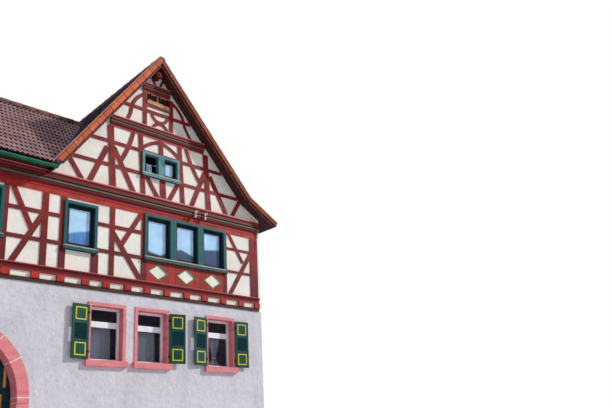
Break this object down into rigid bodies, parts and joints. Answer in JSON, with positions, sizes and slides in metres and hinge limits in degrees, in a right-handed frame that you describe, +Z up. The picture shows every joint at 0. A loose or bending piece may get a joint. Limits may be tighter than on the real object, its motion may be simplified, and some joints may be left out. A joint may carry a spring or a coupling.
{
  "type": "half timbered house",
  "caption": "Half timbered town house with a street gable over a rendered ground floor, a side wing over a cart gate, hinged gate leaves and window shutters.",
  "frame": {"origin": "on the ground at the foot of the street front, under the middle of the street gable", "axes": "+X along the street front to the right seen from the street, +Y into the house, +Z up"},
  "size_m": [11.75, 9.9, 11.746],
  "materials": {
    "casing_paint": "blue green gloss paint",
    "dark_wood": "dark brown stain",
    "floor_boards": "bare boards",
    "gate_paint": "dark blue green paint",
    "green_paint": "green gloss paint",
    "gutter_paint": "gloss green paint",
    "hinge_iron": "black paint",
    "plaster": "matt lime plaster",
    "red_timber": "ox blood red paint on oak",
    "ridge_tiles": "bedded clay ridge tiles",
    "roof_tiles": "weathered clay pantiles",
    "sandstone": "dressed pink sandstone",
    "shutter_paint": "dark blue green gloss paint",
    "wall_render": "matt lime render over rubble masonry",
    "weathered_boards": "bare weathered wood",
    "white_paint": "white gloss paint",
    "window_glass": "clear"
  },
  "bodies": {
    "house": {"attic_floor": "floor_boards", "back_frame": "red_timber", "back_infill": "plaster", "back_wall": "wall_render", "base_beam": "red_timber", "cornices": "red_timber", "front_frame": "red_timber", "front_infill": "plaster", "front_wall": "wall_render", "gable_frame": "red_timber", "gable_infill": "plaster", "gate_arch": "sandstone", "gate_jambs": "sandstone", "gate_wall_head": "wall_render", "gate_wall_left": "wall_render", "ground_floor": "floor_boards", "ground_window_frames": "white_paint", "gutter": "gutter_paint", "hinge_pins": "hinge_iron", "joist_ends": "red_timber", "left_wall": "wall_render", "loft_hatch": "weathered_boards", "main_roof_left": "roof_tiles", "main_roof_right": "roof_tiles", "parapet_lozenges": "green_paint", "parapet_panels": "red_timber", "ridge_tiles": "ridge_tiles", "right_frame": "red_timber", "right_infill": "plaster", "right_wall": "wall_render", "sill_beam": "red_timber", "upper_casings": "casing_paint", "upper_floor": "floor_boards", "upper_sashes": "dark_wood", "window_glass": "window_glass", "window_surrounds": "sandstone", "wing_back_wall": "wall_render", "wing_eaves": "red_timber", "wing_party_wall": "wall_render", "wing_rear_frame": "red_timber", "wing_rear_infill": "plaster", "wing_roof_back": "roof_tiles", "wing_roof_front": "roof_tiles"},
    "gate_leaf_left": {"gate_leaf_left": "gate_paint"},
    "gate_leaf_right": {"gate_leaf_right": "gate_paint"},
    "left_window_shutter": {"left_window_shutter": "shutter_paint"},
    "middle_window_shutter": {"middle_window_shutter": "shutter_paint"},
    "right_window_shutter_left": {"right_window_shutter_left": "shutter_paint"},
    "right_window_shutter_right": {"right_window_shutter_right": "shutter_paint"}
  },
  "joints": [
    {"name": "left_gate_hinge", "type": "hinge", "parent": "house", "child": "gate_leaf_left", "pos_m": [-6.98, 0.432, 0.45], "axis": [0, 0, 1], "range_deg": [0, 88]},
    {"name": "right_gate_hinge", "type": "hinge", "parent": "house", "child": "gate_leaf_right", "pos_m": [-3.52, 0.432, 0.45], "axis": [0, 0, -1], "range_deg": [0, 88]},
    {"name": "left_window_shutter_hinge", "type": "hinge", "parent": "house", "child": "left_window_shutter", "pos_m": [-2.08, -0.05, 2.95], "axis": [0, 0, 1], "range_deg": [-5, 175]},
    {"name": "middle_window_shutter_hinge", "type": "hinge", "parent": "house", "child": "middle_window_shutter", "pos_m": [0.205, -0.05, 2.95], "axis": [0, 0, -1], "range_deg": [-12, 168]},
    {"name": "right_window_left_shutter_hinge", "type": "hinge", "parent": "house", "child": "right_window_shutter_left", "pos_m": [1.47, -0.05, 2.95], "axis": [0, 0, 1], "range_deg": [-6, 174]},
    {"name": "right_window_right_shutter_hinge", "type": "hinge", "parent": "house", "child": "right_window_shutter_right", "pos_m": [2.45, -0.05, 2.95], "axis": [0, 0, -1], "range_deg": [-5, 175]}
  ]
}
